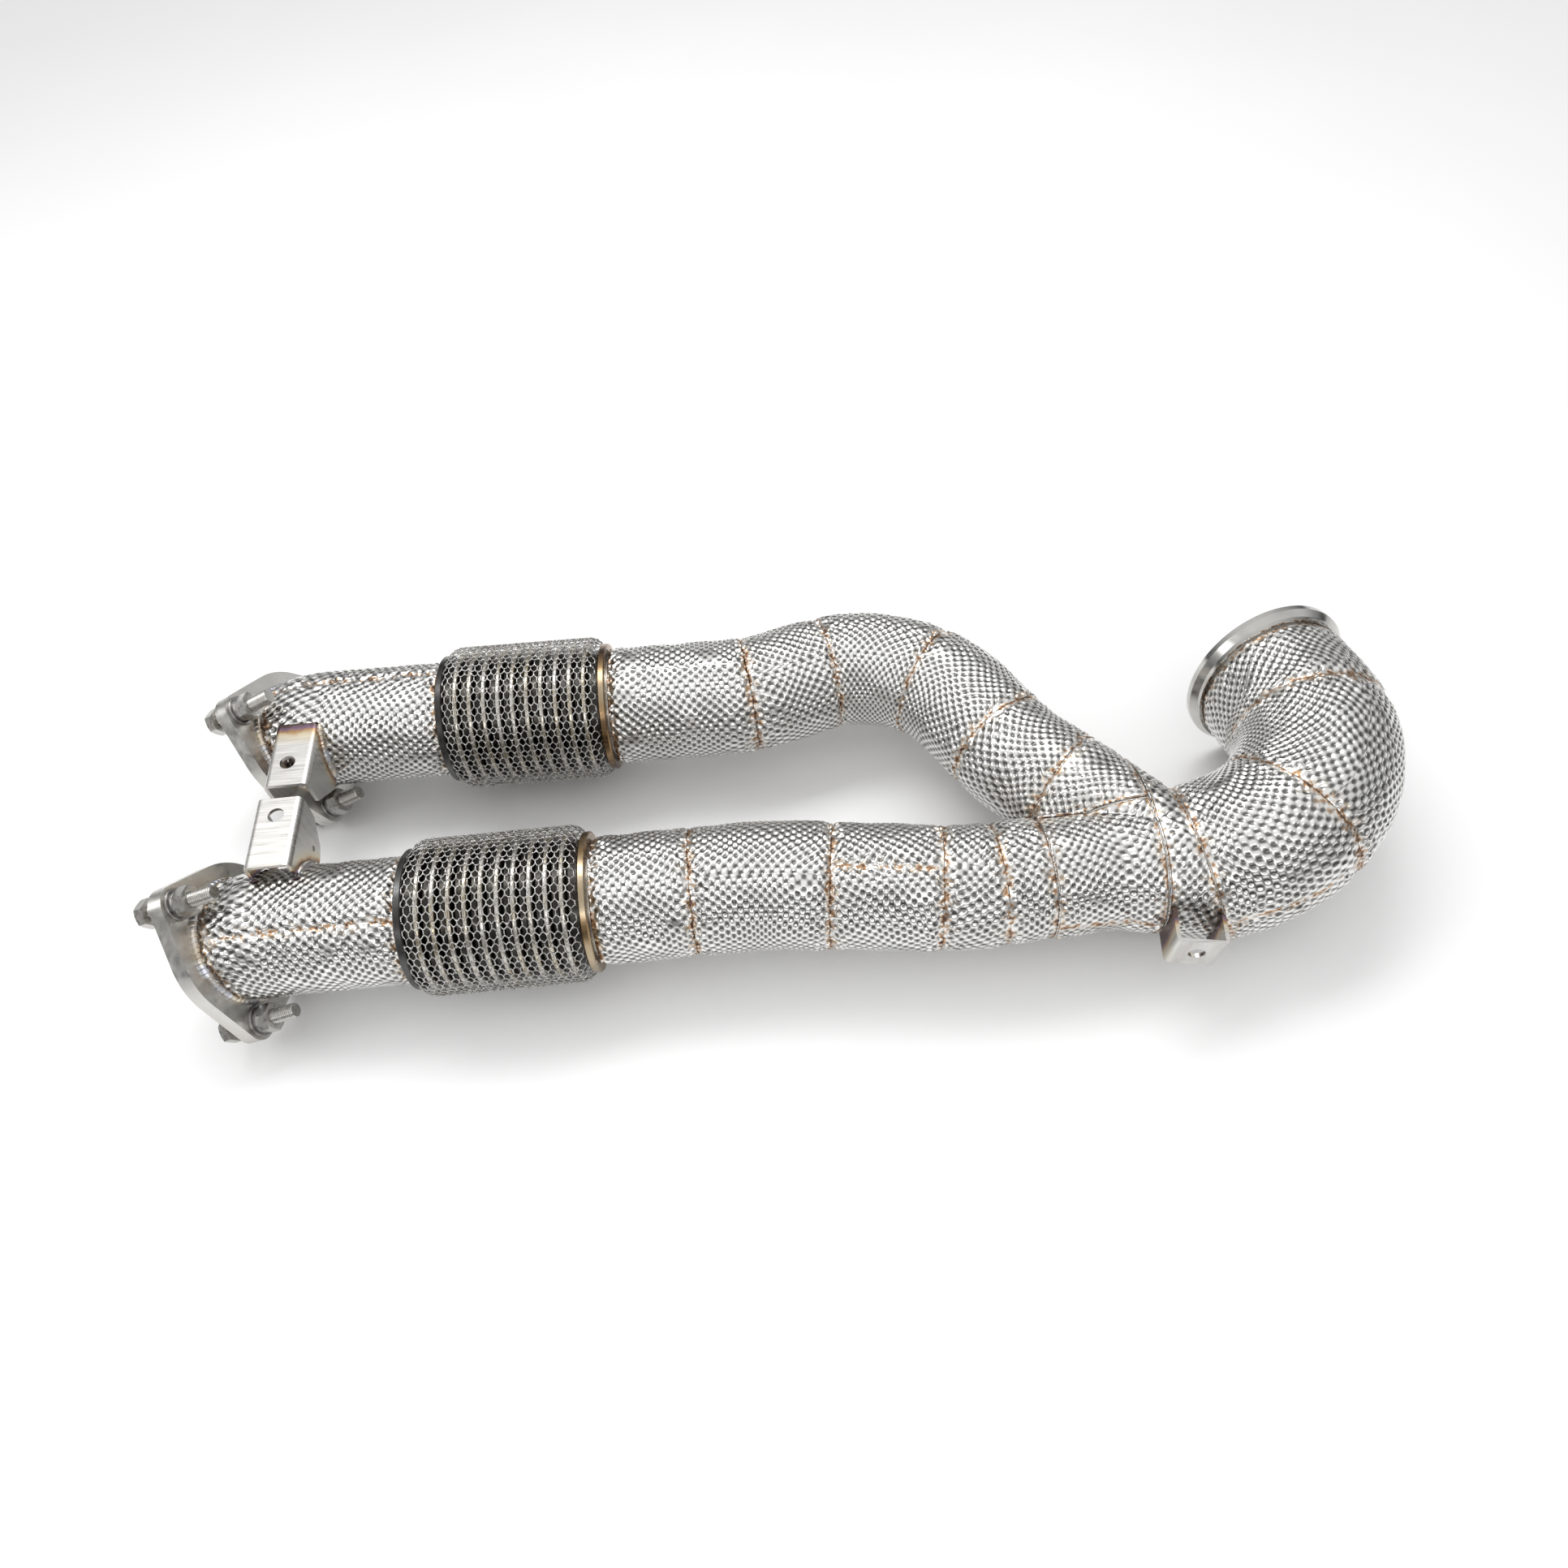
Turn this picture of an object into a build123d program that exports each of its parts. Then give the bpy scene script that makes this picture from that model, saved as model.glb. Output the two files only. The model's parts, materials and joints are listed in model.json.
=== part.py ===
"""Heat-shielded Y-pipe of an exhaust: one turbocharger inlet, two flexible legs, two flanged outlets.

The frame's origin is the centre of the turbocharger flange's sealing face. +X runs along the legs
from the outlets to the collector, +Y from the near leg to the far leg, and +Z is up as the part lies.
"""
import os
from math import cos, radians, sin, tan

from build123d import *

os.makedirs("parts", exist_ok=True)

# ---- driving dimensions, in millimetres and degrees ----
INLET_TUBE_R = 50.8          # 4 inch tube
LEG_TUBE_R = 38.1            # 3 inch tube
TUBE_WALL = 1.6
FIT_GAP = 0.2                # between a tube and what slides over it
WRAP_END_GAP = 1.0           # left bare where a wrap stops at a ring or flange

INLET_FACING = (-0.180, 0.967, -0.178)
INLET_BEND_R = 83.6
INLET_WRAP_R = 53.0
INLET_SEAMS = (0.32, 0.87)   # where the tube's and wrap's two seams lie, as shares of the bend
BEND_CORNER_BACK = 140.8     # from the sealing face to the corner that the bend rounds off
COLLECTOR_MOUTH = Vector(-86.0, -145.0, -8.5)
TURBO_RIM_R = 57.5
TURBO_RIM_THICK = 4.5
TURBO_RIM_BEVEL = 0.6
TURBO_CONE_LENGTH = 4.0      # the clamp's sloping seat behind the rim
TURBO_HUB_R = 53.8
TURBO_HUB_LENGTH = 11.5

LEG_Z = -2.0
NEAR_FLEX = Vector(-534.5, -133.0, LEG_Z)
NEAR_CORNERS = [Vector(-367.0, -133.0, LEG_Z), Vector(-237.0, -150.0, LEG_Z)]
NEAR_END = Vector(-190.0, -147.9, LEG_Z)
NEAR_THROAT = 44.0           # straight stretch inside the collector before it widens
NEAR_BENDS = [150.0, 150.0]
NEAR_WRAP_LENGTHS = [62.0, 89.0, 70.0, 35.0, 29.0]
NEAR_WRAP_RADII = [42.0, 42.0, 41.2, 40.3, 40.0]

FAR_FLEX = Vector(-523.5, 30.2, LEG_Z)
FAR_CORNERS = [
    Vector(-365.3, 26.4, LEG_Z),
    Vector(-248.7, 57.0, LEG_Z),
    Vector(-184.5, -56.0, LEG_Z),
]
FAR_END = Vector(-161.4, -79.1, LEG_Z)
FAR_BENDS = [120.0, 90.0, 90.0]
FAR_WRAP_LENGTHS = [97.0, 60.0, 74.0, 74.0, 57.0]
FAR_WRAP_RADII = [42.0, 41.5, 41.0, 40.5, 40.0]

CROTCH_Y = -120.0            # seam between the two halves of the collector's wrap
NECK_X = -121.0              # seam between those halves and the neck's wrap

FLEX_LENGTH = 113.0          # between the middles of its two end rings
RING_WIDTH = 5.0
RING_R = 45.5
RING_BEVEL = 0.8
BELLOWS_INNER_R = 40.0
BELLOWS_OUTER_R = 47.6
BELLOWS_WALL = 1.0
BELLOWS_CUFF = 4.0
CONVOLUTIONS = 10
FOLD_RISE = 0.2              # where a fold tops out, starts down and ends, as shares of the pitch
FOLD_FALL = 0.7
FOLD_END = 0.9
SLEEVE_R = 51.0
SLEEVE_END_R = 45.0
SLEEVE_WALL = 1.6
SLEEVE_SHOULDER = 9.0        # length of the rounded end
SLEEVE_KNEE = 2.7            # the shoulder is drawn as two slopes that meet here
SLEEVE_KNEE_R = 49.6

OUTLET_BEND_R = 60.0
OUTLET_RECESS = 0.5           # the tube stops this far short of the flange's sealing face
OUTLET_WRAP_R = 41.5
FLANGE_THICK = 10.0
FLANGE_BODY_R = 52.0
FLANGE_LUG_R = 12.6
BOLT_CIRCLE_R = 53.5
BOLT_HOLE_R = 5.75
WELD_R = 3.2
WELD_LEAD = 4.0              # straight tube left for the weld before the bend starts

BOLT_R = 5.0
HEAD_ACROSS = 17.0
HEAD_HEIGHT = 6.4
NUT_HEIGHT = 8.0
FLAT_WASHER_R = 10.5
FLAT_WASHER_THICK = 2.0
SPRING_WASHER_R = 8.8
SPRING_WASHER_THICK = 2.6
WASHER_HOLE_R = 5.3
NUT_HOLE_R = 5.05
THREAD_CHAMFER = 0.9
HEAD_STANDOFF = 9.0          # the bolts are only run in loosely
STUD_BEYOND_NUT = 16.5

SHEET = 2.5                  # folded bracket sheet
BRACKET_FOLD_R = 4.0
BRACKET_HOLE_R = 5.25
BRACKET_WIDTH = 30.0
SIDE_HOLE_R = 2.0
COLLECTOR_BRACKET_WIDTH = 32.0
COLLECTOR_BRACKET_HEIGHT = 28.6
COLLECTOR_BRACKET_DEPTH = 40.0
COLLECTOR_WEB = Vector(-107.9, -211.5, -0.9)


def export(part, name):
    part.label = name
    export_step(part, f"parts/{name}.step")


def station(path, distance):
    """The plane square to a path at that distance along it."""
    where = path.position_at(distance, position_mode=PositionMode.LENGTH)
    along = path.tangent_at(distance, position_mode=PositionMode.LENGTH)
    return Plane(origin=where, z_dir=along)


def run(corners, bends):
    """Straight runs joined by tangent arcs."""
    with BuildLine() as line:
        FilletPolyline(*corners, radius=bends)
    return line.wires()[0]


def tube(path, outer, inner):
    """A round tube swept along a path."""
    with BuildPart() as swept:
        with BuildSketch(station(path, 0)):
            Circle(outer)
            Circle(inner, mode=Mode.SUBTRACT)
        sweep(path=path)
    return swept.part


def disc(plane, radius):
    with BuildSketch(plane) as circle:
        Circle(radius)
    return circle.sketch


def segment(whole, start, end):
    """What lies between two planes across a swept tube."""
    with BuildPart() as cut:
        add(whole)
        split(bisect_by=start, keep=Keep.TOP)
        split(bisect_by=end, keep=Keep.BOTTOM)
    return cut.part


# ---- paths ----
facing = Vector(*INLET_FACING).normalized()
bend_corner = -facing * BEND_CORNER_BACK
inlet_path = run([COLLECTOR_MOUTH, bend_corner, -facing * (TURBO_RIM_THICK + FIT_GAP)], INLET_BEND_R)
near_start = NEAR_FLEX + Vector(FLEX_LENGTH / 2 - RING_WIDTH / 2, 0, 0)
near_path = run([near_start, *NEAR_CORNERS, NEAR_END], NEAR_BENDS)
far_along = (FAR_CORNERS[0] - FAR_FLEX).normalized()
far_start = FAR_FLEX + far_along * (FLEX_LENGTH / 2 - RING_WIDTH / 2)
far_path = run([far_start, *FAR_CORNERS, FAR_END], FAR_BENDS)

mouth = station(inlet_path, 0)
near_end = station(near_path, near_path.length)
near_throat = near_end.offset(NEAR_THROAT)
far_end = station(far_path, far_path.length)


# ---- turbocharger flange, inlet bend and its wraps ----
turbo = Plane(origin=(0, 0, 0), z_dir=facing)
with BuildPart() as turbo_flange:
    with BuildSketch(Plane(origin=(0, 0, 0), x_dir=turbo.x_dir, z_dir=turbo.y_dir)):
        # drawn with x outwards and y towards the part
        with BuildLine():
            Polyline(
                (INLET_TUBE_R + FIT_GAP, TURBO_HUB_LENGTH),
                (INLET_TUBE_R + FIT_GAP, TURBO_RIM_THICK + FIT_GAP),
                (INLET_TUBE_R - TUBE_WALL, TURBO_RIM_THICK + FIT_GAP),
                (INLET_TUBE_R - TUBE_WALL, 0),
                (TURBO_RIM_R - TURBO_RIM_BEVEL, 0),
                (TURBO_RIM_R, TURBO_RIM_BEVEL),
                (TURBO_RIM_R, TURBO_RIM_THICK),
                (TURBO_HUB_R, TURBO_RIM_THICK + TURBO_CONE_LENGTH),
                (TURBO_HUB_R, TURBO_HUB_LENGTH),
                close=True,
            )
        make_face()
    revolve(axis=Axis(origin=(0, 0, 0), direction=facing))
export(turbo_flange.part, "turbo_flange")

inlet_turn = radians((bend_corner - COLLECTOR_MOUTH).get_angle(facing))
bend_start = (bend_corner - COLLECTOR_MOUTH).length - INLET_BEND_R * tan(inlet_turn / 2)
bend_length = INLET_BEND_R * inlet_turn
bend_seams = [bend_start + share * bend_length for share in INLET_SEAMS]


def inlet_lengths(outer, inner, ends, name):
    """The inlet's tube or its wrap, cut into lengths at the bend's seams."""
    whole = tube(inlet_path, outer, inner)
    cuts = [ends[0], *bend_seams, ends[1]]
    for number, (start, end) in enumerate(zip(cuts, cuts[1:]), 1):
        length = segment(whole, station(inlet_path, start), station(inlet_path, end))
        export(length, f"{name}_{number}")


wrap_end = inlet_path.length - (TURBO_HUB_LENGTH - TURBO_RIM_THICK) - WRAP_END_GAP
inlet_lengths(INLET_TUBE_R, INLET_TUBE_R - TUBE_WALL, (0, inlet_path.length), "inlet_pipe")
inlet_lengths(INLET_WRAP_R, INLET_TUBE_R + FIT_GAP, (FIT_GAP, wrap_end), "inlet_wrap")


# ---- collector: two legs merging into the inlet pipe ----
def merge(near_radius, far_radius, mouth_radius):
    """A solid Y: both legs run into one round mouth."""
    inset = 1.0              # the far branch ends just inside the near one
    with BuildPart() as merged:
        with BuildSketch(near_end):
            Circle(near_radius)
        extrude(amount=NEAR_THROAT)
        loft([disc(near_throat, near_radius), disc(mouth, mouth_radius)])
        loft([disc(far_end, far_radius), disc(mouth.offset(-inset), mouth_radius - inset)])
    return merged.part


with BuildPart() as collector_body:
    add(merge(LEG_TUBE_R, LEG_TUBE_R, INLET_TUBE_R))
    bore_r = LEG_TUBE_R - TUBE_WALL
    add(merge(bore_r, bore_r, INLET_TUBE_R - TUBE_WALL), mode=Mode.SUBTRACT)
export(collector_body.part, "collector_body")

with BuildPart() as collector_shell:
    add(merge(NEAR_WRAP_RADII[-1], FAR_WRAP_RADII[-1], INLET_WRAP_R))
    core_r = LEG_TUBE_R + FIT_GAP
    add(merge(core_r, core_r, INLET_TUBE_R + FIT_GAP), mode=Mode.SUBTRACT)
crotch = Plane(origin=(0, CROTCH_Y, 0), z_dir=(0, 1, 0))
neck = Plane(origin=(NECK_X, 0, 0), z_dir=(1, 0, 0))
with BuildPart() as collector_wrap_near:
    add(collector_shell.part)
    split(bisect_by=neck, keep=Keep.BOTTOM)
    split(bisect_by=crotch, keep=Keep.BOTTOM)
export(collector_wrap_near.part, "collector_wrap_near")
with BuildPart() as collector_wrap_far:
    add(collector_shell.part)
    split(bisect_by=neck, keep=Keep.BOTTOM)
    split(bisect_by=crotch, keep=Keep.TOP)
export(collector_wrap_far.part, "collector_wrap_far")
with BuildPart() as neck_wrap:
    add(collector_shell.part)
    split(bisect_by=neck, keep=Keep.TOP)
export(neck_wrap.part, "neck_wrap")

# ---- legs and their wraps ----
legs = {
    "near": (near_path, NEAR_WRAP_LENGTHS, NEAR_WRAP_RADII),
    "far": (far_path, FAR_WRAP_LENGTHS, FAR_WRAP_RADII),
}
for name, (path, lengths, radii) in legs.items():
    export(tube(path, LEG_TUBE_R, LEG_TUBE_R - TUBE_WALL), f"{name}_leg_pipe")
    start = RING_WIDTH + WRAP_END_GAP
    for number, (length, radius) in enumerate(zip(lengths, radii), 1):
        last = number == len(lengths)
        end = path.length if last else start + length
        shell = tube(path, radius, LEG_TUBE_R + FIT_GAP)
        export(segment(shell, station(path, start), station(path, end)), f"{name}_wrap_{number}")
        start = end


# ---- flexible joints: end rings, bellows and knitted sleeve, drawn along each leg's own axis ----
def lathe(leg, points, name):
    """Revolves an outline of (distance along the leg, radius) points about the leg's axis."""
    with BuildPart() as turned:
        with BuildSketch(Plane(origin=leg.origin, x_dir=leg.z_dir, z_dir=leg.x_dir)):
            with BuildLine():
                Polyline(*points, close=True)
            make_face()
        revolve(axis=Axis(origin=leg.origin, direction=leg.z_dir))
    export(turned.part, name)


def end_ring(leg, middle, name):
    half = RING_WIDTH / 2
    inner = LEG_TUBE_R + FIT_GAP
    outline = [
        (middle - half, inner),
        (middle + half, inner),
        (middle + half, RING_R - RING_BEVEL),
        (middle + half - RING_BEVEL, RING_R),
        (middle - half + RING_BEVEL, RING_R),
        (middle - half, RING_R - RING_BEVEL),
    ]
    lathe(leg, outline, name)


def bellows(leg, name):
    """A convoluted tube between the two rings."""
    end = FLEX_LENGTH / 2 - RING_WIDTH / 2 - FIT_GAP
    reach = end - BELLOWS_CUFF
    pitch = 2 * reach / CONVOLUTIONS
    root_r = BELLOWS_INNER_R + BELLOWS_WALL
    crest_inner_r = BELLOWS_OUTER_R - BELLOWS_WALL
    outside = [(-end, root_r)]
    inside = [(-end, BELLOWS_INNER_R)]
    for fold in range(CONVOLUTIONS):
        left = -reach + fold * pitch
        top = left + FOLD_RISE * pitch
        fall = left + FOLD_FALL * pitch
        right = left + FOLD_END * pitch
        outside += [(left, root_r), (top, BELLOWS_OUTER_R), (fall, BELLOWS_OUTER_R), (right, root_r)]
        inside += [
            (left + BELLOWS_WALL, BELLOWS_INNER_R),
            (top + BELLOWS_WALL, crest_inner_r),
            (fall - BELLOWS_WALL, crest_inner_r),
            (right - BELLOWS_WALL, BELLOWS_INNER_R),
        ]
    outside.append((end, root_r))
    inside.append((end, BELLOWS_INNER_R))
    lathe(leg, outside + inside[::-1], name)


def sleeve(leg, name):
    """The knitted cover, with a rounded shoulder at each end."""
    end = FLEX_LENGTH / 2 - RING_WIDTH / 2 - FIT_GAP
    outside = [
        (-end, SLEEVE_END_R),
        (-end + SLEEVE_KNEE, SLEEVE_KNEE_R),
        (-end + SLEEVE_SHOULDER, SLEEVE_R),
        (end - SLEEVE_SHOULDER, SLEEVE_R),
        (end - SLEEVE_KNEE, SLEEVE_KNEE_R),
        (end, SLEEVE_END_R),
    ]
    inside = [(distance, radius - SLEEVE_WALL) for distance, radius in reversed(outside)]
    lathe(leg, outside + inside, name)


near_leg = Plane(origin=NEAR_FLEX, z_dir=(1, 0, 0))
far_leg = Plane(origin=FAR_FLEX, z_dir=far_along)
for name, leg in (("near", near_leg), ("far", far_leg)):
    end_ring(leg, FLEX_LENGTH / 2, f"{name}_inner_ring")
    end_ring(leg, -FLEX_LENGTH / 2, f"{name}_outer_ring")
    bellows(leg, f"{name}_bellows")
    sleeve(leg, f"{name}_sleeve")


# ---- outlets: tube, wrap, three-bolt flange and weld ----
# reach: from the flexible joint's middle to the flange; dip: the tube's downward turn;
# clock: how far the flange is turned about the tube
NEAR_OUTLET = {"reach": 173.5, "dip": 20.0, "clock": 0.0, "along": near_leg.z_dir, "flex": NEAR_FLEX}
FAR_OUTLET = {"reach": 172.5, "dip": 27.0, "clock": 10.7, "along": far_along, "flex": FAR_FLEX}
BOLT_PLACES = ["top", "near", "far"]


def outlet_frame(outlet):
    """The plane on the flange's leg-side face, facing the leg, with x level and y upwards."""
    dip = radians(outlet["dip"])
    along = outlet["along"]
    level = Vector(0, 0, 1).cross(along)
    into_leg = along * cos(dip) + Vector(0, 0, 1) * sin(dip)
    drop = OUTLET_BEND_R * (1 - cos(dip)) + WELD_LEAD * sin(dip)
    centre = outlet["flex"] - along * outlet["reach"] - Vector(0, 0, drop)
    return Plane(origin=centre, x_dir=level, z_dir=into_leg)


def outlet_path(outlet, frame):
    dip = radians(outlet["dip"])
    corner = frame.origin + frame.z_dir * (WELD_LEAD + OUTLET_BEND_R * tan(dip / 2))
    ring = outlet["flex"] - outlet["along"] * (FLEX_LENGTH / 2 - RING_WIDTH / 2)
    stub_end = frame.origin - frame.z_dir * (FLANGE_THICK - OUTLET_RECESS)
    return run([stub_end, corner, ring], OUTLET_BEND_R)


def bolt_angles(outlet):
    first = 90 + outlet["clock"]
    return [first, first + 120, first + 240]


def at_bolt(frame, angle, height):
    """The plane square to a bolt at that height above the flange's leg-side face."""
    offset = frame.x_dir * cos(radians(angle)) + frame.y_dir * sin(radians(angle))
    origin = frame.origin + offset * BOLT_CIRCLE_R + frame.z_dir * height
    return Plane(origin=origin, x_dir=frame.x_dir, z_dir=frame.z_dir)


def outlet_pieces(name, outlet, frame):
    path = outlet_path(outlet, frame)
    export(tube(path, LEG_TUBE_R, LEG_TUBE_R - TUBE_WALL), f"{name}_outlet_pipe")

    shell = tube(path, OUTLET_WRAP_R, LEG_TUBE_R + FIT_GAP)
    start = frame.offset(WELD_LEAD + FIT_GAP)
    end = station(path, path.length - RING_WIDTH - WRAP_END_GAP)
    export(segment(shell, start, end), f"{name}_outlet_wrap")

    with BuildPart() as flange:
        with BuildSketch(frame):
            with BuildLine():
                CenterArc((0, 0), FLANGE_BODY_R, 0, 360)
                for angle in bolt_angles(outlet):
                    lug = Vector(BOLT_CIRCLE_R, 0).rotate(Axis.Z, angle)
                    CenterArc(lug, FLANGE_LUG_R, 0, 360)
            make_hull()
            Circle(LEG_TUBE_R + FIT_GAP, mode=Mode.SUBTRACT)
            with PolarLocations(BOLT_CIRCLE_R, 3, start_angle=bolt_angles(outlet)[0]):
                Circle(BOLT_HOLE_R, mode=Mode.SUBTRACT)
        extrude(amount=-FLANGE_THICK)
    export(flange.part, f"{name}_flange")

    with BuildPart() as weld:
        with BuildSketch(Plane(origin=frame.origin, x_dir=frame.x_dir, z_dir=-frame.y_dir)):
            with Locations((LEG_TUBE_R + FIT_GAP, 0)):
                Circle(WELD_R)
            with Locations((LEG_TUBE_R + FIT_GAP, 0)):
                Rectangle(WELD_R, WELD_R, align=(Align.MIN, Align.MIN), mode=Mode.INTERSECT)
        revolve(axis=Axis(origin=frame.origin, direction=frame.z_dir))
    export(weld.part, f"{name}_flange_weld")


def bolt_pieces(name, frame, angle):
    """A bolt with its nut, and a flat and a spring washer seated on the flange."""
    nut_seat = FLAT_WASHER_THICK + SPRING_WASHER_THICK
    stud_end = nut_seat + NUT_HEIGHT + STUD_BEYOND_NUT
    head_seat = -FLANGE_THICK - HEAD_STANDOFF
    hexagon_r = HEAD_ACROSS / 2
    with BuildPart() as bolt:
        with BuildSketch(at_bolt(frame, angle, head_seat)):
            RegularPolygon(hexagon_r, 6, major_radius=False)
        extrude(amount=-HEAD_HEIGHT)
        with BuildSketch(at_bolt(frame, angle, head_seat)):
            Circle(BOLT_R)
        extrude(amount=stud_end - head_seat)
        tip = bolt.edges().filter_by(GeomType.CIRCLE).sort_by(Axis(frame.origin, frame.z_dir))[-1]
        chamfer(tip, THREAD_CHAMFER)
    export(bolt.part, f"{name}_bolt")
    with BuildPart() as nut:
        with BuildSketch(at_bolt(frame, angle, nut_seat)):
            RegularPolygon(hexagon_r, 6, major_radius=False)
            Circle(NUT_HOLE_R, mode=Mode.SUBTRACT)
        extrude(amount=NUT_HEIGHT)
    export(nut.part, f"{name}_nut")
    with BuildPart() as washers:
        with BuildSketch(at_bolt(frame, angle, 0)):
            Circle(FLAT_WASHER_R)
            Circle(WASHER_HOLE_R, mode=Mode.SUBTRACT)
        extrude(amount=FLAT_WASHER_THICK)
        with BuildSketch(at_bolt(frame, angle, FLAT_WASHER_THICK)):
            Circle(SPRING_WASHER_R)
            Circle(WASHER_HOLE_R, mode=Mode.SUBTRACT)
        extrude(amount=SPRING_WASHER_THICK)
    export(washers.part, f"{name}_washers")


for name, outlet in (("near", NEAR_OUTLET), ("far", FAR_OUTLET)):
    frame = outlet_frame(outlet)
    outlet_pieces(name, outlet, frame)
    for place, angle in zip(BOLT_PLACES, bolt_angles(outlet)):
        bolt_pieces(f"{name}_{place}", frame, angle)


# ---- brackets: folded channels with a bolt hole in the web ----
def channel(plane, width, depth, length):
    """A U-shaped fold: its web faces away along -y of the plane, and it runs along the plane's normal."""
    with BuildPart() as folded:
        with BuildSketch(plane) as outline:
            Rectangle(width, depth, align=(Align.CENTER, Align.MIN))
            fillet(outline.vertices().sort_by(Axis.Y)[:2], BRACKET_FOLD_R)
            with Locations((0, SHEET)):
                Rectangle(width - 2 * SHEET, depth, align=(Align.CENTER, Align.MIN), mode=Mode.SUBTRACT)
        extrude(amount=length)
    return folded.part


def wall_outline(corners):
    """Everything within that outline in Y and Z, whatever its X."""
    with BuildPart() as block:
        with BuildSketch(Plane.YZ):
            with BuildLine():
                Polyline(*corners, close=True)
            make_face()
        extrude(amount=-2 * FAR_FLEX.length)
    return block.part


def outlet_bracket(name, outlet, middle_x, y_ends, top, wall_corners, hole_at, side_hole=None):
    """A channel with its web level on top, fitted round the outlet's wrap."""
    far_end_y, near_end_y = y_ends
    reach = top - min(z for _, z in wall_corners)
    corner = Plane(origin=(middle_x, near_end_y, top), x_dir=(1, 0, 0), z_dir=(0, 1, 0))
    with BuildPart() as bracket:
        add(channel(corner, BRACKET_WIDTH, reach, far_end_y - near_end_y))
        add(wall_outline(wall_corners), mode=Mode.INTERSECT)
        with BuildSketch(Plane(origin=outlet["flex"], z_dir=-outlet["along"])):
            Circle(OUTLET_WRAP_R + FIT_GAP)
        extrude(amount=outlet["reach"], mode=Mode.SUBTRACT)
        with BuildSketch(Plane(origin=(*hole_at, top))):
            Circle(BRACKET_HOLE_R)
        extrude(amount=SHEET, both=True, mode=Mode.SUBTRACT)
        if side_hole:
            with BuildSketch(Plane(origin=(middle_x, *side_hole), z_dir=(1, 0, 0))):
                Circle(SIDE_HOLE_R)
            extrude(amount=BRACKET_WIDTH, mode=Mode.SUBTRACT)
    export(bracket.part, name)


outlet_bracket(
    "far_outlet_bracket",
    FAR_OUTLET,
    middle_x=-679.5,
    y_ends=(16.0, -41.0),
    top=33.0,
    wall_corners=[(-41, 34), (-41, 12), (-18, -7.5), (0, -7.5), (16, 10), (16, 34)],
    hole_at=(-681.0, -22.0),
)
outlet_bracket(
    "near_outlet_bracket",
    NEAR_OUTLET,
    middle_x=-673.5,
    y_ends=(-62.5, -114.5),
    top=48.0,
    wall_corners=[(-114.5, 49), (-114.5, 8), (-87, 8), (-78.5, 11), (-65, 27), (-62.5, 49)],
    hole_at=(-673.5, -76.0),
    side_hole=(-85.5, 20.0),
)

across = Vector(0.987, -0.1375, -0.083).normalized()
inwards = Vector(0.139, 0.990, 0.009).normalized()
web_plane = Plane(origin=COLLECTOR_WEB, x_dir=across, z_dir=across.cross(inwards))
with BuildPart() as collector_bracket:
    low = web_plane.offset(-COLLECTOR_BRACKET_HEIGHT / 2)
    add(channel(low, COLLECTOR_BRACKET_WIDTH, COLLECTOR_BRACKET_DEPTH, COLLECTOR_BRACKET_HEIGHT))
    add(merge(NEAR_WRAP_RADII[-1], FAR_WRAP_RADII[-1], INLET_WRAP_R), mode=Mode.SUBTRACT)
    with BuildSketch(mouth):
        Circle(INLET_WRAP_R)
    extrude(amount=COLLECTOR_BRACKET_DEPTH, mode=Mode.SUBTRACT)
    with BuildSketch(Plane(origin=COLLECTOR_WEB, x_dir=across, z_dir=web_plane.y_dir)):
        Circle(BRACKET_HOLE_R)
    extrude(amount=SHEET, both=True, mode=Mode.SUBTRACT)
export(collector_bracket.part, "collector_bracket")
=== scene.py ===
"""The looks of the heat-shielded exhaust Y-pipe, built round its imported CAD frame."""
import json
import math

import bpy
import numpy as np
from mathutils import Matrix, Vector


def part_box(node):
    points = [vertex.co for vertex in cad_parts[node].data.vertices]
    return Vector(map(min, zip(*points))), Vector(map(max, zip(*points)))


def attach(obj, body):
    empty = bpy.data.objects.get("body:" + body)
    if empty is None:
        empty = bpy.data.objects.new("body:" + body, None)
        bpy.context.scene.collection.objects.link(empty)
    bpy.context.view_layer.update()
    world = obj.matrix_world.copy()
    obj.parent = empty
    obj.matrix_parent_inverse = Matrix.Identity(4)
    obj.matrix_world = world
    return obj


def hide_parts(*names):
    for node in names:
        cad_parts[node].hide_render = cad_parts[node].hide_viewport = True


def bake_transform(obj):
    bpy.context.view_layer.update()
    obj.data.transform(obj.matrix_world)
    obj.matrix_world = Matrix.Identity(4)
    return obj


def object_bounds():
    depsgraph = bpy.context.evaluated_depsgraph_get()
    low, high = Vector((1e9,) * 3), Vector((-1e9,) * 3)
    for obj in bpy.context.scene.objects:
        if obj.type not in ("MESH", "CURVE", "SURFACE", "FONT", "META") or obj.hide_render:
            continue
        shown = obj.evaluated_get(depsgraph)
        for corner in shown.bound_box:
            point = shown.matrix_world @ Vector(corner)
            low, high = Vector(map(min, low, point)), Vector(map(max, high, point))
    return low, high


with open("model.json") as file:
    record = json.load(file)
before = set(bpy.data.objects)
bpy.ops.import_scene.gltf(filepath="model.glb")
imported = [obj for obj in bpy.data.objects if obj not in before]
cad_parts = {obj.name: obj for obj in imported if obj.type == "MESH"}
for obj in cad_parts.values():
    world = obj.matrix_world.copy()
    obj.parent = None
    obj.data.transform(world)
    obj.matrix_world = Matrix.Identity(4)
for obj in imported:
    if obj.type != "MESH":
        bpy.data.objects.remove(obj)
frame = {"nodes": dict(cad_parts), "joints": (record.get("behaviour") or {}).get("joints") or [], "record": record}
cad_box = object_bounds()

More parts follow.
